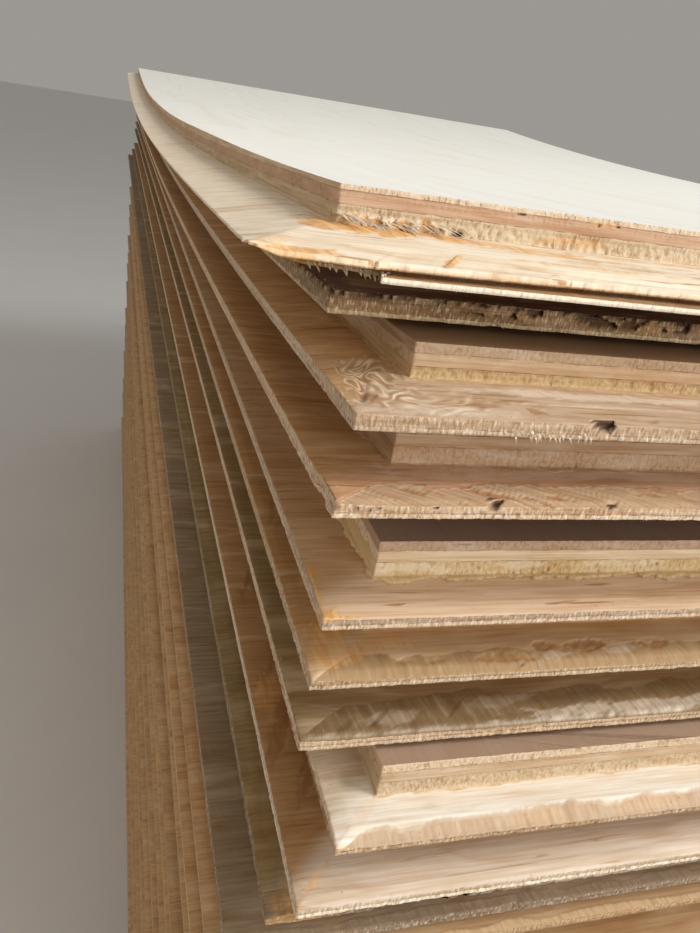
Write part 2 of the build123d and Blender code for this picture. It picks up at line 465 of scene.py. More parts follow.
class Wear:
    """What has happened to the ledge of one sheet, at each row and column of its profile."""

    def __init__(self, sheet, seed, path, share, height, part):
        self.sheet, self.seed = sheet, seed
        self.q = path[None, :] + 0.0 * share
        self.u, self.h, self.part = share, height, part
        self.d = share * sheet["end"]
        self.calm = np.clip(WEAR_SPACING / np.abs(np.gradient(path)), 0.0, 1.0)[None, :]
        nothing = np.zeros_like(self.q)
        self.inwards, self.up, self.swirl, self.torn = np.zeros((4, *nothing.shape))
        # dark holds dark streaks and spots, and painted shade in holes, pits and cracks
        self.stain, self.dark, self.pale = np.zeros((3, *nothing.shape))
        self.across = np.where(self.q > 0, self.q + self.d, self.d)
        self.along = np.where(self.q > 0, self.d, self.d - self.q)
        wander = rough(self.q / 11.0, 0.0, seed + 20) + 0.25 * rough(self.q / 2.2, 0.0, seed + 21)
        width, waves, self.strip_depth, _ = sheet["strip"]
        self.in_strip = width + waves * wander - self.d if width else nothing + OUTSIDE
        self.in_strip -= OUTSIDE_ON_LEFT * ramp(-self.q, *STRIP_ENDS)
        wander = rough(self.q / 9.0, 4.0, seed + 22) + 0.25 * rough(self.q / 2.0, 4.0, seed + 23)
        width, waves, self.back_depth, _ = sheet["back"]
        self.in_back = self.d - sheet["end"] + width + waves * wander if width else nothing + OUTSIDE

    def wear_lip(self):
        """Breaks each ply of the lip back by itself, with a few larger chips."""
        q, h, seed, tear = self.q, self.h, self.seed, self.sheet["tear"]
        lip = self.part == 0
        ply = ply_at(h)
        ragged = 0.25 * rough(q / 1.5, ply * 3.7, seed) + 0.35 * rough(q / 7.0, ply * 2.3, seed + 1)
        chips = np.clip(rough(q / 9.0, ply * 5.1, seed + 2) - 0.40, 0, 1) * 5.0 * tear
        chips *= 1 - 0.7 * ramp(-q, 2.0, 12.0)
        fibres = noise(q / 1.1, h / 1.4, seed + 3)
        edge = np.abs(ragged) + chips + np.abs(fibres) * (0.15 + 0.2 * tear)
        line = np.exp(-((h - PLY_TOPS[0]) / 0.25) ** 2)
        self.inwards += np.where(lip, edge + 0.25 * line, 0.0)
        if self.sheet["pitted"]:
            # painted shade: the pits and the broken top edge are set in and also darkened
            pits = noise(q / 2.8, h / 1.1, seed + 70) + 0.7 * noise(q / 9.0, h / 2.5, seed + 71)
            pits = ramp(pits, 0.15, 0.5) * ramp(h, 2.0, 3.0) * ramp(q, 18.0, 50.0)
            self.inwards += np.where(lip, 2.4 * pits, 0.0)
            self.dark += np.where(lip, 0.75 * pits, 0.0)
            top = ramp(noise(q / 1.3, 7.0, seed + 72) + 0.4 * noise(q / 4.0, 7.0, seed + 73), -0.3, 0.4)
            high = ramp(h, self.sheet["front"] - 1.6, self.sheet["front"])
            self.inwards += np.where(lip, 2.0 * top * high, 0.0)
            self.dark += np.where(lip, 0.6 * top * high, 0.0)
        follow = np.abs(ragged) * (1 - ramp(self.d, 0.0, 2.5))
        self.inwards += np.where(self.part == 1, follow, 0.0)

    def wear_ledge(self):
        """Lifts and tears the fibres of the ledge, most of all in its torn bands."""
        sheet, q, d, seed, tear = self.sheet, self.q, self.d, self.seed, self.sheet["tear"]
        ledge = self.part == 1
        slant = self.across + sheet["slant"] * self.along
        strip = ramp(self.in_strip, -0.3, 0.5)
        back = ramp(self.in_back, -0.3, 0.5)
        strands = np.abs(noise(slant / 1.7, d / 8.0, seed + 4)) - 0.3
        strands = strands + 0.9 * (np.abs(noise(slant / 4.5, d / 7.0, seed + 5)) - 0.3)
        swells = rough(q / 16.0, d / 6.0, seed + 6)
        fine = 0.03 * noise(d / 1.1, q / 26.0, seed + 7)
        lift = 0.35 * swells * tear + fine
        lift += (strip * 0.40 + back * 0.25) * strands * (0.2 + tear)
        lift -= strip * self.strip_depth + back * self.back_depth
        inside = ramp(d, 0.0, 1.2) * (1 - 0.7 * ramp(self.u, 0.92, 1.0))
        self.up += np.where(ledge, lift * inside, 0.0)

    def wear_wall(self):
        """Pits the end grain, leaves the long grain nearly smooth, and opens the glue lines."""
        q, h, seed, rugged = self.q, self.h, self.seed, self.sheet["rough_wall"]
        wall = self.part == 2
        ply = ply_at(h)
        end_grain = np.where(q > 0, ply % 2 == 0, ply % 2 == 1)
        pits = np.abs(noise(q / 0.8, h / 1.8, seed + 8)) + 0.6 * np.abs(rough(q / 2.6, h / 3.0, seed + 9))
        bite = np.where(end_grain, 0.22, 0.06) * pits
        low = (ply == 2) & (q > 0)
        bite += rugged * np.where(low, 0.8, 0.0) * np.clip(rough(q / 1.6, h / 5.0, seed + 10) + 0.2, 0, 1)
        bite += 0.25 * np.abs(rough(q / 12.0, ply * 2.1, seed + 11))
        for line in PLY_TOPS[2:4]:
            groove = np.exp(-((h - line) / 0.3) ** 2) * (0.4 + 0.6 * np.abs(noise(q / 5.0, line, seed + 12)))
            bite += 0.30 * groove
        foot = ramp(h, self.sheet["lip"], self.sheet["lip"] + 0.8)
        self.inwards += np.where(wall, bite * foot, 0.0)

    def make_mark(self, kind, place, along, half_long, at, half_wide, strength):
        """One damaged place with an uneven outline."""
        here = self.part == PART_CODES[place]
        level = self.d if place == "ledge" else self.h
        lean = (1 + self.sheet["slant"]) * (level - at) if kind == "torn" else 0.0
        a, b = (self.q + lean - along) / half_long, (level - at) / half_wide
        uneven = 0.45 * rough(self.q / 2.2, level / 1.3, self.seed + int(along * 3) + 40)
        uneven = uneven + 0.35 * noise(self.q / 6.0, level / 3.0, self.seed + int(along) + 41)
        amount = np.where(here, 1 - ramp(np.sqrt(a * a + b * b) + uneven, 0.55, 1.05), 0.0)
        if kind == "resin":
            self.stain += strength * amount
        elif kind == "pale":
            self.pale += strength * amount
        elif kind == "dark":
            self.dark += strength * amount
        elif kind == "torn":
            patchy = ramp(rough(self.q / 5.0, self.d / 3.0, self.seed + 52), -0.5, 0.1)
            depth = amount * (0.4 + 0.6 * patchy)
            self.torn += strength * depth
            self.up -= 0.6 * strength * depth
        elif kind == "swirl":
            self.swirl += strength * amount
            ridges = noise(self.q / 3.4, self.d / 3.4, self.seed + 50)
            self.up += 0.2 * strength * amount * ridges
        elif kind == "fuzz":
            tufts = np.abs(noise((self.q - 0.5 * level) / 1.6, level / 5.0, self.seed + 51))
            tufts += 0.5 * np.abs(noise(self.q / 0.8, level / 3.0, self.seed + 53))
            self.inwards += strength * amount * (1.6 * tufts - 1.1)
            self.stain += 0.75 * amount * ramp(tufts, 0.3, 0.55)
            self.pale += 0.9 * amount * ramp(tufts, 0.35, 0.1)
        elif kind == "chip":
            self.inwards += strength * amount
        elif kind == "notch":
            reach = 1 - ramp(np.abs(a) + 0.3 * rough(self.q / 1.6, 2.0, self.seed + 54), 0.6, 0.95)
            follow = np.where(self.part == 1, reach * (1 - ramp(self.d, 0.4, 4.5)), amount)
            follow = np.where(self.part == 2, 0.0, follow)
            self.inwards += strength * follow
            # painted shade: the notch is darkened inside
            self.dark += 0.95 * ramp(np.where(self.part == 1, reach * (self.d < 1.2), amount), 0.3, 0.8)
        elif kind == "void":
            self.inwards += strength * amount
            # painted shade: the void is darkened inside
            self.dark += 0.9 * ramp(amount, 0.35, 0.9)

    def split_lip(self):
        """Drops the veneer under the lip, with an open crack above it, and breaks its corner off."""
        near = ramp(self.q, 0.0, 9.0)
        lip = self.part == 0
        on_ledge = self.part == 1
        rows = len(np.unique(self.h[lip]))
        row = np.where(lip, np.round(self.h / self.sheet["front"] * (rows - 1)), -1).astype(int)
        droop = near * (0.75 + 0.25 * ramp(self.q, 10.0, 40.0))
        sag = LIP_DROP * 0.5
        ragged = 0.5 * rough(self.q / 3.0, 1.0, self.seed + 61)
        set_back = SET_BACK + CRACK_WIDENS * ramp(self.q, 45.0, 115.0)
        inner = set_back + CRACK_DEPTH
        # How far in and how high each row of the lip ends up, then how dark, stained and pale. The veneer's
        # top by the crack is glue-stained; the darkening deeper in the crack and where the veneer has broken
        # back is painted shade.
        targets = (
            (0.0, -VENEER_DROP, 0.0, 0.0, 0.6),
            (0.0, VENEER - VENEER_DROP, 0.0, 0.0, 0.6),
            (0.4, VENEER - VENEER_DROP, 0.1, 0.3, 0.4),
            (1.2, VENEER - VENEER_DROP, 0.5, 1.0, 0.0),
            (inner, VENEER - VENEER_DROP + 0.2, 0.8, 1.0, 0.0),
            (inner, -LIP_DROP - 0.1, 0.75, 1.0, 0.0),
            (set_back, -LIP_DROP, 0.45, 1.0, 0.0),
            (set_back, -LIP_DROP + 0.6, 0.0, 0.3, 0.0),
            (set_back, self.sheet["front"] - sag, 0.0, 0.0, 0.0),
        )
        uneven = 3.0 * rough(self.q / 1.8, 0.0, self.seed + 60)
        kept = ramp(self.q, BROKEN_TO - 3.0 + uneven, BROKEN_TO + 2.0 + uneven)
        bare = 1 - ramp(kept, 0.7, 1.0)
        under = lip & (self.u > 0)
        self.up -= np.where(under, (VENEER_DROP - 0.6) * droop, 0.0)
        for k, (back, height, dark, stain, pale) in enumerate(targets):
            this = (row == k) & ~under
            veneer = k < 4
            set_in = back * near + ragged * near * (2 <= k <= 3 or k >= 6)
            if veneer:
                set_in = set_in + BROKEN_BACK * near * (1 - kept)
                dark, stain, pale = dark + 0.6 * bare, stain + 0.6 * bare, pale * (1 - bare)
            if k >= 6:
                set_in = set_in * (0.3 + 0.7 * kept)
            self.inwards += np.where(this, set_in, 0.0)
            self.up += np.where(this, (height - self.h) * droop, 0.0)
            self.dark += np.where(this, dark * near, 0.0)
            self.stain += np.where(this, stain * near, 0.0)
            self.pale += np.where(this, pale * near, 0.0)
        self.up -= np.where(on_ledge, (1 - ramp(self.d, 0.0, 20.0)) * sag * droop, 0.0)
        follow = (1 - ramp(self.d, 0.0, 14.0)) * (set_back + ragged) * near * (0.3 + 0.7 * kept)
        self.inwards += np.where(on_ledge, follow, 0.0)
        self.part = np.where((row >= 8) & (self.q > -4.0), 1, self.part)


def shape_of(sheet, level):
    """Places and fields of one sheet's ledge, still flat."""
    seed = 1000 + 37 * level
    path = path_of(sheet)
    rows = profile_of(sheet)
    share = np.array([r[0] for r in rows])[:, None] + 0.0 * path[None, :]
    height = np.array([r[1] for r in rows])[:, None] + 0.0 * path[None, :]
    part = np.array([r[2] for r in rows])[:, None] + 0 * np.zeros_like(path, int)[None, :]
    if sheet["slope"] < LEVELLED_SLOPE:
        flatter = LEFT_LEVELLING * ramp(-path, -14.0, 10.0)[None, :]
        drop = sheet["lip"] - sheet["front"]
        on_lip = height * (1 + flatter * drop / sheet["front"])
        on_ledge = sheet["lip"] - (sheet["lip"] - height) * (1 - flatter)
        height = np.where(part == 0, on_lip, np.where(part == 1, on_ledge, height))
    wear = Wear(sheet, seed, path, share, height, part)
    wear.wear_lip()
    wear.wear_ledge()
    wear.wear_wall()
    for kind, place, *spots in sheet["marks"]:
        for spot in spots:
            wear.make_mark(kind, place, *spot)
    if sheet["split"]:
        wear.split_lip()
    inwards, up = wear.inwards * wear.calm, wear.up * wear.calm
    left = wear.q <= 0
    along_side = np.abs(wear.q)
    in_side = share * sheet["side"] + inwards
    in_end = share * sheet["end"] + inwards
    s = np.where(left, in_side, in_side + along_side * (SHEET_WIDTH - in_side) / SHEET_WIDTH)
    t = np.where(left, in_end + along_side * (SHEET_LENGTH - in_end) / SHEET_LENGTH, in_end)
    fields = {
        "mark": np.stack([wear.stain, wear.dark, wear.pale], -1),
        "zone": np.stack([wear.in_strip, wear.in_back, wear.swirl], -1),
        "edge": np.stack([wear.q, wear.d, height], -1) * MM,
        # torn depth, then the ramp to the left side, where the ledge takes its painted shade colour, then
        # whether a point is on the left side
        "torn": np.stack([wear.torn, ramp(-wear.q, 0.0, 14.0), 1.0 * (wear.q < 0)], -1),
    }
    return s, t, height + up, wear.part, fields


# The wide grid on a sheet's top and underside: how far in it starts and how fine it is
CAP_INSET = 14.0
CAP_COLUMNS = 13
CAP_ROWS = 29


class Builder:
    """Gathers the points and faces of one mesh."""

    def __init__(self):
        self.points = []
        self.fields = {"mark": [], "zone": [], "edge": [], "torn": []}
        self.count = 0
        self.faces = []
        self.parts = []

    def add(self, s, t, h, fields=None):
        """Adds points with their fields and returns their numbers."""
        flat = np.stack(np.broadcast_arrays(s, t, h), -1).reshape(-1, 3).astype(float)
        self.points.append(flat)
        plain = {
            "mark": np.zeros((len(flat), 3)),
            "zone": np.tile([OUTSIDE, OUTSIDE, 0.0], (len(flat), 1)),
            "edge": flat * MM,
            "torn": np.zeros((len(flat), 3)),
        }
        for name, values in {**plain, **(fields or {})}.items():
            self.fields[name].append(np.asarray(values, float).reshape(-1, 3))
        first = self.count
        self.count += len(flat)
        return np.arange(first, self.count)

    def grid(self, numbers, parts):
        """Faces over a grid of point numbers, rows by columns."""
        a, b = numbers[:-1, :-1], numbers[:-1, 1:]
        c, d = numbers[1:, 1:], numbers[1:, :-1]
        quads = np.stack([a, b, c, d], -1).reshape(-1, 4)
        self.faces.extend(quads.tolist())
        self.parts.extend(np.broadcast_to(parts, a.shape).reshape(-1).tolist())

    def face(self, numbers, part):
        self.faces.append([int(n) for n in numbers])
        self.parts.append(part)

    def zip(self, first, second, first_at, second_at, part, turned=False):
        """Triangles between two rows of points that run the same way at different spacings."""
        i, j = 0, 0
        while i < len(first) - 1 or j < len(second) - 1:
            ahead = j == len(second) - 1 or (
                i < len(first) - 1 and first_at[i + 1] <= second_at[j + 1]
            )
            if ahead:
                triangle = [first[i], first[i + 1], second[j]]
                i += 1
            else:
                triangle = [first[i], second[j + 1], second[j]]
                j += 1
            self.face(triangle[::-1] if turned else triangle, part)

    def cap(self, near_row, left_row, near_at, left_at, s0, t0, h, part, turned):
        """Closes the top or the underside with a wide grid. Returns its right and far edges."""
        across = np.linspace(s0 + CAP_INSET, SHEET_WIDTH, CAP_COLUMNS)
        along = np.linspace(t0 + CAP_INSET, SHEET_LENGTH, CAP_ROWS)
        grid = self.add(across[None, :], along[:, None], np.full((CAP_ROWS, CAP_COLUMNS), h))
        grid = grid.reshape(CAP_ROWS, CAP_COLUMNS)
        self.grid(grid if not turned else grid[:, ::-1], part)
        self.zip(near_row, grid[0], near_at, across, part, turned)
        self.zip(left_row, grid[:, 0], left_at, along, part, not turned)
        return grid[:, -1], grid[-1]


# How far apart, in metres, neighbouring sheets take their grain from the same pattern
PATTERN_APART = (3.1, 1.7)


def make_sheet(name, sheet, level, materials):
    """One sheet as a closed mesh, with its places and marks kept for the material."""
    s, t, h, part, fields = shape_of(sheet, level)
    build = Builder()
    skin = build.add(s, t, h, fields).reshape(s.shape)
    build.grid(skin, part[1:, 1:])
    path = path_of(sheet)
    corner = int(np.argmin(np.abs(path)))
    left_at = t[:, : corner + 1][:, ::-1]
    near_at = s[:, corner:]
    top, low = skin[-1], skin[0]
    top_right, top_far = build.cap(
        top[corner:], top[: corner + 1][::-1], near_at[-1], left_at[-1],
        sheet["side"], sheet["end"], THICKNESS, FACE_PART, False,
    )
    low_right, low_far = build.cap(
        low[corner:], low[: corner + 1][::-1], near_at[0], left_at[0],
        0.0, 0.0, 0.0, FACE_PART, True,
    )
    right = list(skin[:, -1]) + list(top_right) + list(low_right[::-1])
    far = list(skin[::-1, 0]) + list(low_far) + list(top_far[::-1])
    build.face(right, PLAIN_EDGE_PART)
    build.face(far, PLAIN_EDGE_PART)
    if sheet["fine"]:
        add_slivers(build, sheet, level, s, t, h, part, path)
    for k, fringe in enumerate(sheet["fringes"]):
        add_fringe(build, sheet, fringe, 900 + 10 * level + k, s, t, h, part, path)
    points = np.concatenate(build.points)
    if sheet["thin"]:
        above = np.clip((points[:, 2] - sheet["lip"]) / (THICKNESS - sheet["lip"]), 0.0, 1.0)
        points[:, 2] -= sheet["thin"] * above * (1 - ramp(points[:, 1], THIN_FROM, THIN_TO))
    mesh = bpy.data.meshes.new(name)
    placed = bend(points[:, 0], points[:, 1], points[:, 2], sheet, level)
    mesh.from_pydata(placed.tolist(), [], build.faces)
    apart = np.array([PATTERN_APART[0] * level, PATTERN_APART[1] * level, 0.0])
    fields = {field: np.concatenate(values) for field, values in build.fields.items()}
    fields["flat"] = points * MM + apart
    fields["edge"] = fields["edge"] + apart
    for field, values in fields.items():
        store = mesh.attributes.new(field, "FLOAT_VECTOR", "POINT")
        store.data.foreach_set("vector", values.astype(np.float32).ravel())
    store = mesh.attributes.new("part", "FLOAT", "FACE")
    store.data.foreach_set("value", np.array(build.parts, np.float32))
    for material in materials:
        mesh.materials.append(material)
    parts = np.array(build.parts)
    slots = np.select([parts == PART_CODES["ledge"], parts == FACE_PART], [1, 2], 0)
    mesh.polygons.foreach_set("material_index", slots.astype(np.int32))
    mesh.polygons.foreach_set("use_smooth", parts < FACE_PART)
    mesh.update()
    piece = bpy.data.objects.new(name, mesh)
    bpy.context.scene.collection.objects.link(piece)
    return piece


# Where along the ledge the small splinters are, and no splinter reaches past the sheet's outline
SLIVERS_FROM = -25.0
SLIVERS_TO = 150.0
KEPT_INSIDE = 0.02

# The faces of a small splinter with four corners, and of a long blade with seven
SLIVER_FACES = ((0, 2, 1), (0, 1, 3), (1, 2, 3), (2, 0, 3))
BLADE_FACES = (
    (0, 2, 1), (0, 1, 4, 3), (1, 2, 5, 4), (2, 0, 3, 5), (3, 4, 6), (4, 5, 6), (5, 3, 6),
)


def add_splinter(build, corners, mark, faces, part):
    """One closed splinter, which is as stained, dark and pale all over as its mark says."""
    corners = np.array(corners)
    corners[:, :2] = np.maximum(corners[:, :2], KEPT_INSIDE)
    numbers = build.add(*corners.T, {"mark": np.array([mark] * len(corners))})
    for face_corners in faces:
        build.face(numbers[list(face_corners)], part)


def add_slivers(build, sheet, level, s, t, h, part, path):
    """Splinters that stand out of the torn ledge, the lip's edge and the wall's lowest ply."""
    draw = random.Random(500 + level)
    rows = np.arange(len(h))
    close = np.where((path > SLIVERS_FROM) & (path < SLIVERS_TO))[0]
    on_lip = rows[part[:, -1] == 0]
    on_ledge = rows[(part[:, -1] == 1) & (h[:, -1] > 0)]
    on_wall = rows[(part[:, -1] == 2) & (h[:, -1] < PLY_TOPS[2])]
    for _ in range(round(30 + 170 * sheet["tear"])):
        j = int(draw.choice(close))
        kind = draw.random()
        if kind < 0.6:
            places, lengths, leans = on_lip, (0.5, 1.6), (-0.8, 0.5)
        elif kind < 0.8:
            places, lengths, leans = on_ledge[:4], (0.6, 1.6), (0.1, 0.4)
        else:
            places, lengths, leans = on_wall, (0.4, 1.4), (-0.8, 0.3)
        i, length, lean = int(draw.choice(places)), draw.uniform(*lengths), draw.uniform(*leans)
        aside = draw.uniform(-0.6, 0.6)
        if path[j] < 0:
            way, wide = np.array([-1.0, aside, lean]), np.array([0.0, 1.0, 0.0])
        else:
            way, wide = np.array([aside, -1.0, lean]), np.array([1.0, 0.0, 0.0])
        way = way / np.linalg.norm(way) * length
        half = wide * draw.uniform(0.08, 0.2)
        thick = np.array([0.0, 0.0, draw.uniform(0.08, 0.16)])
        base = np.array([s[i, j], t[i, j], h[i, j]])
        root = base - way * 0.35
        corners = [root - half, root + half, root + thick, base + way]
        add_splinter(build, corners, (0.0, 0.0, draw.uniform(0.0, 0.35)), SLIVER_FACES, 0)


def add_fringe(build, sheet, fringe, seed, s, t, h, part, path):
    """Long torn splinters that hang close together, each a thin blade that bends down."""
    place, start, end, count, length, fall, tones = fringe
    draw = random.Random(seed)
    rows = np.arange(len(h))
    if place == "wall":
        above = h[:, -1] - sheet["lip"]
        roots = rows[(part[:, -1] == 2) & (above > 0.4) & (above < 3.2)]
    else:
        roots = rows[(part[:, -1] == 0) & (h[:, -1] <= sheet["front"])][1:5]
    columns = np.where((path > start) & (path < end))[0]
    for _ in range(count):
        i, j = int(draw.choice(roots)), int(draw.choice(columns))
        reach = length * draw.uniform(0.45, 1.1)
        aside = draw.uniform(0.0, 0.4)
        way = np.array([aside, -1.0, -fall])
        way = way / np.linalg.norm(way) * reach
        wide = np.array([draw.uniform(0.3, 0.6), 0.0, 0.0])
        thick = np.array([0.0, 0.0, draw.uniform(0.25, 0.45)])
        root = np.array([s[i, j], t[i, j], h[i, j]]) - way * 0.15
        middle = root + way * 0.55 + np.array([0.0, 0.0, 0.05 * reach])
        tip = root + way
        corners = [
            root - wide, root + wide, root + thick,
            middle - wide * 0.7, middle + wide * 0.7, middle + thick * 0.7, tip,
        ]
        add_splinter(build, corners, draw.choice(tones), BLADE_FACES, SPLINTER_PART)


# Materials


class Nodes:
    """A short way to write a material's nodes."""

    def __init__(self, name):
        self.material = bpy.data.materials.new(name)
        self.material.use_nodes = True
        self.tree = self.material.node_tree
        self.shader = self.tree.nodes["Principled BSDF"]

    def put(self, socket, value):
        if hasattr(value, "is_output"):
            self.tree.links.new(value, socket)
        elif isinstance(value, tuple) and len(value) == 3 and socket.type == "RGBA":
            socket.default_value = (*value, 1.0)
        else:
            socket.default_value = value

    def node(self, kind, *values, **settings):
        """A new node with its first inputs and its settings given."""
        node = self.tree.nodes.new("ShaderNode" + kind)
        for name, setting in settings.items():
            setattr(node, name, setting)
        for socket, value in zip(node.inputs, values):
            self.put(socket, value)
        return node

    def attribute(self, name, output="Vector"):
        return self.node("Attribute", attribute_name=name).outputs[output]

    def parts(self, vector):
        return self.node("SeparateXYZ", vector).outputs

    def work_out(self, how, a, b=0.0, c=0.0, clamp=False):
        return self.node("Math", a, b, c, operation=how, use_clamp=clamp).outputs[0]

    def times(self, a, b, clamp=False):
        return self.work_out("MULTIPLY", a, b, clamp=clamp)

    def plus(self, a, b, clamp=False):
        return self.work_out("ADD", a, b, clamp=clamp)

    def minus(self, a, b):
        return self.work_out("SUBTRACT", a, b)

    def distance(self, a, b):
        return self.work_out("ABSOLUTE", self.minus(a, b))

    def noise(self, vector, factors, detail=2.0, distortion=0.0):
        """Noise from 0 to 1, where factors give how many bumps there are in a metre each way."""
        scaled = self.node("VectorMath", vector, factors, operation="MULTIPLY").outputs[0]
        node = self.node("TexNoise", scaled)
        settings = {"Scale": 1.0, "Detail": detail, "Distortion": distortion, "Roughness": 0.55}
        for name, value in settings.items():
            node.inputs[name].default_value = value
        return node.outputs["Fac"]

    def spread(self, value, low, high, to_low=0.0, to_high=1.0):
        """A smooth step from to_low, where the value is low, to to_high, where it is high."""
        ends = (low, high, to_low, to_high)
        return self.node("MapRange", value, *ends, interpolation_type="SMOOTHSTEP").outputs[0]

    def mix(self, share, a, b, how="MIX"):
        node = self.node("Mix", share, data_type="RGBA", blend_type=how)
        self.put(node.inputs[6], a)
        self.put(node.inputs[7], b)
        return node.outputs[2]

    def darken(self, share, colour, factors):
        """The colour with a share of each part taken down to its factor."""
        return self.mix(share, colour, factors, "MULTIPLY")

    def blend_number(self, share, a, b):
        node = self.node("Mix", share)
        self.put(node.inputs[2], a)
        self.put(node.inputs[3], b)
        return node.outputs[0]

    def bands(self, value, stops):
        """Each stop's colour from its place up to the next stop."""
        node = self.node("ValToRGB", value)
        node.color_ramp.interpolation = "CONSTANT"
        elements = node.color_ramp.elements
        while len(elements) > 1:
            elements.remove(elements[-1])
        elements[0].position = stops[0][0]
        elements[0].color = (*stops[0][1], 1.0)
        for place, colour in stops[1:]:
            element = elements.new(place)
            element.color = (*colour, 1.0)
        return node.outputs[0]

    def bump(self, height, strength, distance):
        node = self.node("Bump", strength, distance)
        self.put(node.inputs["Height"], height)
        return node.outputs[0]


class Wood(Nodes):
    """The nodes of one kind of sheet's wood, with what all its places share."""

    def __init__(self, name, sheet):
        super().__init__(name)
        self.sheet = sheet
        self.flat = self.attribute("flat")
        self.edge = self.attribute("edge")
        s, t, self.height = self.parts(self.flat)
        self.stained, self.darkened, self.paled = self.parts(self.attribute("mark"))
        self.in_strip, self.in_back, self.swirled = self.parts(self.attribute("zone"))
        self.torn_out, self.on_left, self.left_side = self.parts(self.attribute("torn"))
        across = self.plus(s, self.times(t, sheet["slant"]))
        self.slanted = self.node("CombineXYZ", across, t).outputs[0]
        self.strands = self.noise(self.slanted, (620, 60, 1), 4.0)
        self.fine_grain = self.noise(self.flat, (30, 900, 600), 3.0)


def ends(n):
    """The plies on the wall, on the broken lip and on the plain edges."""
    # Which ply a point is in, and whether that ply's grain runs across the sheet
    wander = n.minus(n.noise(n.flat, (90, 90, 60), 3.0), 0.5)
    level = n.plus(n.height, n.times(wander, PLY_WANDER * MM))
    share = n.work_out("DIVIDE", level, THICKNESS * MM)
    bottoms = [bottom / THICKNESS for bottom in (0.0, *PLY_TOPS[:-1])]
    plies = n.bands(share, list(zip(bottoms, n.sheet["plies"])))
    across = n.bands(share, [(bottom, (k % 2,) * 3) for k, bottom in enumerate(bottoms)])

    # Grain along each ply. Where the ply is cut across, it shows as pores and short dark ticks,
    # and elsewhere as thin dark layers.
    grain = n.blend_number(
        across, n.noise(n.flat, (1100, 26, 700), 3.0), n.noise(n.flat, (26, 1100, 700), 3.0)
    )
    ticks = n.blend_number(
        across, n.noise(n.flat, (1300, 40, 330), 2.0), n.noise(n.flat, (40, 1300, 330), 2.0)
    )
    crowd = n.spread(n.noise(n.flat, (80, 80, 240), 1.0), 0.42, 0.62)
    cut_across = n.work_out("COMPARE", across, n.left_side, 0.5)
    ticks = n.spread(n.minus(ticks, n.blend_number(crowd, 0.72, 0.56)), 0.0, 0.06)
    ticks = n.times(ticks, cut_across)
    layers = n.spread(n.noise(n.edge, (26, 26, 1700), 3.0), 0.46, 0.64, 0.45, 0.0)
    layers = n.times(layers, n.minus(1.0, cut_across))
    broad = n.noise(n.flat, (38, 30, 160), 3.0, 0.6)
    colour = n.darken(n.spread(grain, 0.28, 0.66, 1.0, 0.0), plies, (0.80, 0.71, 0.60))
    colour = n.mix(n.times(ticks, 0.55), colour, TORN_BROWN)
    colour = n.darken(layers, colour, (0.80, 0.68, 0.56))
    colour = n.mix(n.spread(broad, 0.5, 0.75, 0.0, 0.2), colour, WHITE_WOOD)
    colour = n.darken(n.spread(broad, 0.5, 0.25, 0.0, 0.5), colour, (0.78, 0.64, 0.48))

    # Glue lines, which open into thin dark gaps here and there
    gaps = n.spread(n.noise(n.edge, (170, 120, 600), 2.0), 0.40, 0.58, 0.1, 0.75)
    for top in PLY_TOPS[:-1]:
        near_line = n.spread(
            n.distance(level, top * MM), GLUE_LINE * MM, GLUE_LINE_CORE * GLUE_LINE * MM
        )
        colour = n.darken(n.times(near_line, gaps), colour, (0.30, 0.20, 0.13))

    # The lip is broken rather than cut, so that its fibres stand out one by one
    on_lip = n.work_out("COMPARE", n.attribute("part", "Fac"), PART_CODES["lip"], 0.4)
    hairs = n.noise(n.edge, (1250, 300, 430), 3.0)
    broken = n.darken(n.spread(hairs, 0.54, 0.36, 0.0, 0.8), colour, (0.66, 0.56, 0.47))
    broken = n.mix(n.spread(hairs, 0.54, 0.68, 0.0, 0.45), broken, WHITE_WOOD)
    colour = n.mix(on_lip, colour, broken)
    relief = n.plus(grain, n.times(ticks, -0.8))
    relief = n.plus(relief, n.times(n.times(hairs, on_lip), 1.2))
    return colour, END_ROUGHNESS, relief


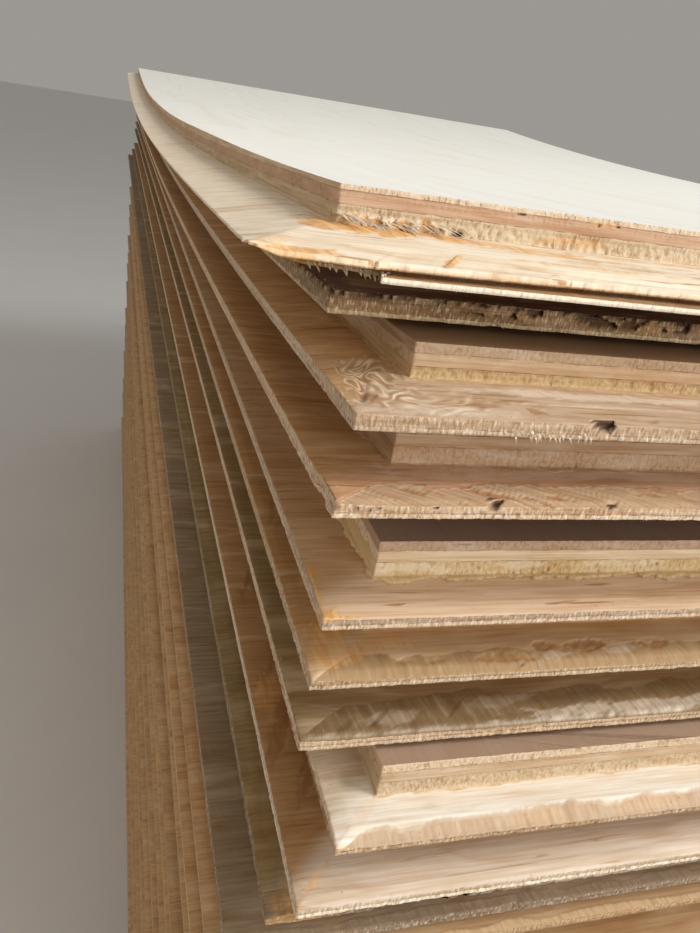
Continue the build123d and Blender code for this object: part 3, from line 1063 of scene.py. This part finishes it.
def ledge(n):
    """One ply laid bare: its own grain and figure, with dark lines, torn bands and gouges."""
    sheet = n.sheet
    lines = n.spread(n.noise(n.flat, (34, 600, 40), 2.0, 0.6), 0.62, 0.70)
    tone = n.noise(n.flat, (16, 60, 20), 3.0, 1.2)
    plain = sheet["ledge"]
    # The left side lies in shade: its ledge takes a colour of its own there, which is painted shade
    if sheet["left"]:
        plain = n.mix(n.on_left, plain, sheet["left"])
    colour = n.darken(n.spread(n.fine_grain, 0.3, 0.68, 1.0, 0.0), plain, (0.84, 0.76, 0.66))
    figure = n.work_out("FRACT", n.times(n.noise(n.flat, (9, 50, 20), 2.0, 0.8), 7.0))
    figure = n.times(n.spread(n.distance(figure, 0.5), 0.1, 0.5), sheet["figure"] * 0.5)
    colour = n.darken(figure, colour, (0.74, 0.60, 0.46))
    colour = n.mix(n.spread(tone, 0.5, 0.75, 0.0, 0.3), colour, CREAM)
    colour = n.darken(n.spread(tone, 0.5, 0.25, 0.0, 0.7), colour, (0.76, 0.60, 0.44))
    colour = n.darken(n.times(lines, sheet["streak"]), colour, (0.60, 0.41, 0.25))

    # Its torn bands are strands that run out to the edge, with painted shade along their sunken rim
    clumps = n.noise(n.slanted, (150, 50, 1), 3.0)
    ragged = n.times(n.minus(n.strands, 0.5), 2.4)
    for inside, band in ((n.in_strip, sheet["strip"]), (n.in_back, sheet["back"])):
        width, _, depth, wood_colour = band
        if not width:
            continue
        torn = n.darken(n.spread(n.strands, 0.34, 0.62, 1.0, 0.0), wood_colour, (0.78, 0.67, 0.54))
        torn = n.mix(n.spread(n.strands, 0.58, 0.72, 0.0, 0.175), torn, WHITE_WOOD)
        torn = n.darken(n.spread(clumps, 0.52, 0.36, 0.0, 0.6), torn, (0.74, 0.58, 0.42))
        torn = n.mix(min(1.0, 0.45 + 0.6 * sheet["tear"]), wood_colour, torn)
        reach = n.plus(inside, n.times(ragged, 0.25 + min(0.75, abs(depth))))
        colour = n.mix(n.spread(reach, -0.5, 0.5), colour, torn)
        # painted shade: the rim darkens more the deeper the band is cut
        rim_shade = n.spread(
            n.work_out("ABSOLUTE", n.plus(reach, 0.3)), 0.6, 0.05, 0.0, min(0.5, abs(depth))
        )
        colour = n.darken(rim_shade, colour, (0.62, 0.47, 0.33))
    gouge = n.darken(1.0, plain, (0.70, 0.50, 0.33))
    gouge = n.mix(n.spread(n.strands, 0.32, 0.66), TORN_BROWN, gouge)
    deepest = n.plus(n.torn_out, n.times(n.minus(clumps, 0.5), 1.2))
    colour = n.mix(n.spread(deepest, 0.25, 0.75, 0.0, 0.85), colour, gouge)

    torn_share = n.spread(
        n.work_out("MAXIMUM", n.in_strip, n.in_back), -0.3, 0.3, 0.1, 0.4 + 0.6 * sheet["tear"]
    )
    relief = n.plus(n.times(n.fine_grain, 0.25), n.times(n.strands, torn_share))
    if any(kind == "swirl" for kind, *_ in sheet["marks"]):
        rings = n.work_out("FRACT", n.times(n.noise(n.edge, (44, 58, 1), 1.0, 1.0), 8.0))
        rings = n.distance(rings, 0.5)
        swirls = n.mix(n.spread(rings, 0.02, 0.42), (0.33, 0.19, 0.09), (0.70, 0.55, 0.38))
        swirls = n.mix(n.spread(rings, 0.36, 0.5, 0.0, 0.7), swirls, WHITE_WOOD)
        share = n.times(n.swirled, n.spread(tone, 0.3, 0.6, 0.35, 0.9), clamp=True)
        colour = n.mix(share, colour, swirls)
        relief = n.plus(relief, n.times(n.times(rings, n.swirled), 0.3))
    roughness = LEDGE_ROUGHNESS - 0.25 * sheet["gloss"]
    return colour, n.spread(n.fine_grain, 0.3, 0.7, roughness + 0.15, roughness), relief


def face(n):
    """The smooth veneer of the top and the underside."""
    grain = n.noise(n.flat, (700, 9, 300), 3.0)
    figure = n.noise(n.flat, (26, 2.2, 10), 3.0, 1.5)
    colour = n.darken(n.spread(grain, 0.3, 0.7, 0.0, 0.30), n.sheet["face"], (0.84, 0.76, 0.64))
    colour = n.darken(n.spread(figure, 0.5, 0.62, 0.0, 0.25), colour, (0.90, 0.82, 0.70))
    return colour, FACE_ROUGHNESS, n.times(grain, 0.12)


def wood(name, sheet, place):
    """The material of one kind of sheet on its ends, its ledge or its faces."""
    n = Wood(name, sheet)
    colour, roughness, relief = place(n)

    # What has got onto the wood: resin in patches, mould in long stains, and the placed marks, whose
    # darkening is partly dark streaks and partly painted shade in holes, pits and cracks
    resin = n.stained
    if place is ledge and sheet["stain"]:
        resin = n.spread(n.noise(n.flat, (40, 30, 90), 4.0, 0.9), 0.58, 0.72)
        resin = n.plus(n.times(resin, sheet["stain"]), n.stained, clamp=True)
    resin = n.times(resin, n.spread(n.fine_grain, 0.25, 0.65, 0.5, 1.0))
    colour = n.mix(resin, colour, n.mix(n.spread(n.strands, 0.35, 0.65), RESIN, PALE_RESIN))
    if place is ledge and sheet["mould"]:
        mould = n.spread(n.noise(n.slanted, (90, 34, 1), 5.0, 1.0), 0.36, 0.66)
        mould = n.times(n.times(mould, sheet["mould"]), n.spread(n.in_strip, 0.4, -0.4))
        colour = n.mix(mould, colour, MOULD)
    # pale wood, and on one ledge painted light along its back
    colour = n.mix(n.times(n.paled, n.spread(n.strands, 0.3, 0.6, 0.6, 1.0)), colour, WHITE_WOOD)
    # dark streaks and spots, and painted shade in holes, pits and cracks
    colour = n.mix(n.times(n.darkened, 1.0, clamp=True), colour, DARK_STAIN_AND_SHADE)
    n.put(n.shader.inputs["Base Color"], colour)
    n.put(n.shader.inputs["Roughness"], roughness)
    n.shader.inputs["Specular IOR Level"].default_value = SPECULAR
    n.put(n.shader.inputs["Normal"], n.bump(relief, BUMP_STRENGTH, BUMP_DEPTH * MM))
    return n.material


def woods(name, sheet):
    """The materials of a sheet's ends, ledge and faces, in the order of its mesh's slots."""
    return [wood(f"{name}_{place.__name__}", sheet, place) for place in (ends, ledge, face)]


# Make every sheet

lower_materials = {}
for level in range(SHEET_COUNT):
    depth = SHEET_COUNT - 1 - level
    node = f"sheet_{level + 1:02d}"
    if depth < len(UPPER_SHEETS):
        sheet = UPPER_SHEETS[depth]
        materials = woods(f"wood_{level + 1:02d}", sheet)
    else:
        sheet = lower_look(level)
        kind = sheet["plies"]
        if kind not in lower_materials:
            lower_materials[kind] = woods(f"lower_wood_{len(lower_materials) + 1}", sheet)
        materials = lower_materials[kind]
    piece = make_sheet(f"plywood_{level + 1:02d}", sheet, level, materials)
    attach(piece, "root")
    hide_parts(node)


# The floor, the light and the camera

FLOOR_SIZE = 60.0
FLOOR_BELOW = 0.0005
FLOOR_ROUGHNESS = 0.7
bpy.ops.mesh.primitive_plane_add(size=FLOOR_SIZE, location=(0, 0, -FLOOR_BELOW))
floor = bpy.context.object
floor.name = "floor"
paint = Nodes("pale_floor")
place_on_floor = paint.node("TexCoord").outputs["Object"]
clouds = paint.noise(place_on_floor, (3, 3, 3), 4.0)
paint.put(paint.shader.inputs["Base Color"], paint.mix(clouds, (0.70, 0.70, 0.70), (0.76, 0.76, 0.755)))
paint.shader.inputs["Roughness"].default_value = FLOOR_ROUGHNESS
floor.data.materials.append(paint.material)

WORLD_COLOUR = (1.0, 0.95, 0.88, 1.0)
WORLD_STRENGTH = 0.33
world = bpy.data.worlds.new("studio")
bpy.context.scene.world = world
world.use_nodes = True
background = world.node_tree.nodes["Background"]
background.inputs["Color"].default_value = WORLD_COLOUR
background.inputs["Strength"].default_value = WORLD_STRENGTH

# Where the two main lights point: a little way along the near end, under the top sheets
NEAR_CORNER = (-0.3, -1.1, 0.9)


def soft_light(name, place, aim, size, watts, colour):
    """A square soft light at a place, turned towards another."""
    lamp = bpy.data.lights.new(name, "AREA")
    lamp.shape = "SQUARE"
    lamp.size = size
    lamp.energy = watts
    lamp.color = colour
    holder = bpy.data.objects.new(name, lamp)
    holder.location = place
    holder.rotation_mode = "QUATERNION"
    holder.rotation_quaternion = (Vector(aim) - Vector(place)).to_track_quat("-Z", "Y")
    bpy.context.scene.collection.objects.link(holder)


soft_light("key_light", (2.9, -2.5, 4.45), NEAR_CORNER, 1.9, 208.0, (1.0, 0.975, 0.94))
soft_light("front_light", (0.5, -5.3, 2.3), NEAR_CORNER, 3.0, 106.0, (1.0, 0.96, 0.91))
soft_light("left_light", (-4.0, -2.2, 2.6), (-0.5, -0.9, 0.7), 3.0, 24.0, (1.0, 0.78, 0.54))

# The camera stands about 0.2 m from the near left corner and looks down along the stack.
# Its angles are in degrees: down from level, clockwise about its axis, and to the left of +Y.
PHOTO_WIDTH = 700
FOCAL_PIXELS = 787.0
PITCH, ROLL, YAW = 24.5, -9.6, -18.95
CAMERA_AT = (-0.6598, -1.3760, 1.1244)

pitch, roll, yaw = (math.radians(v) for v in (PITCH, ROLL, YAW))
turn = Matrix.Rotation(yaw, 3, "Z")
forward = turn @ Vector((0, math.cos(pitch), -math.sin(pitch)))
level_right = turn @ Vector((1, 0, 0))
level_down = forward.cross(level_right)
right = math.cos(roll) * level_right + math.sin(roll) * level_down
down = -math.sin(roll) * level_right + math.cos(roll) * level_down
lens = bpy.data.cameras.new("camera")
lens.sensor_fit = "HORIZONTAL"
lens.sensor_width = 36.0
lens.lens = FOCAL_PIXELS * lens.sensor_width / PHOTO_WIDTH
lens.clip_start = 0.01
camera = bpy.data.objects.new("camera", lens)
camera.matrix_world = Matrix.Translation(CAMERA_AT) @ Matrix(
    (right, -down, -forward)
).transposed().to_4x4()
bpy.context.scene.collection.objects.link(camera)
bpy.context.scene.camera = camera
bpy.context.scene.view_settings.view_transform = "Standard"
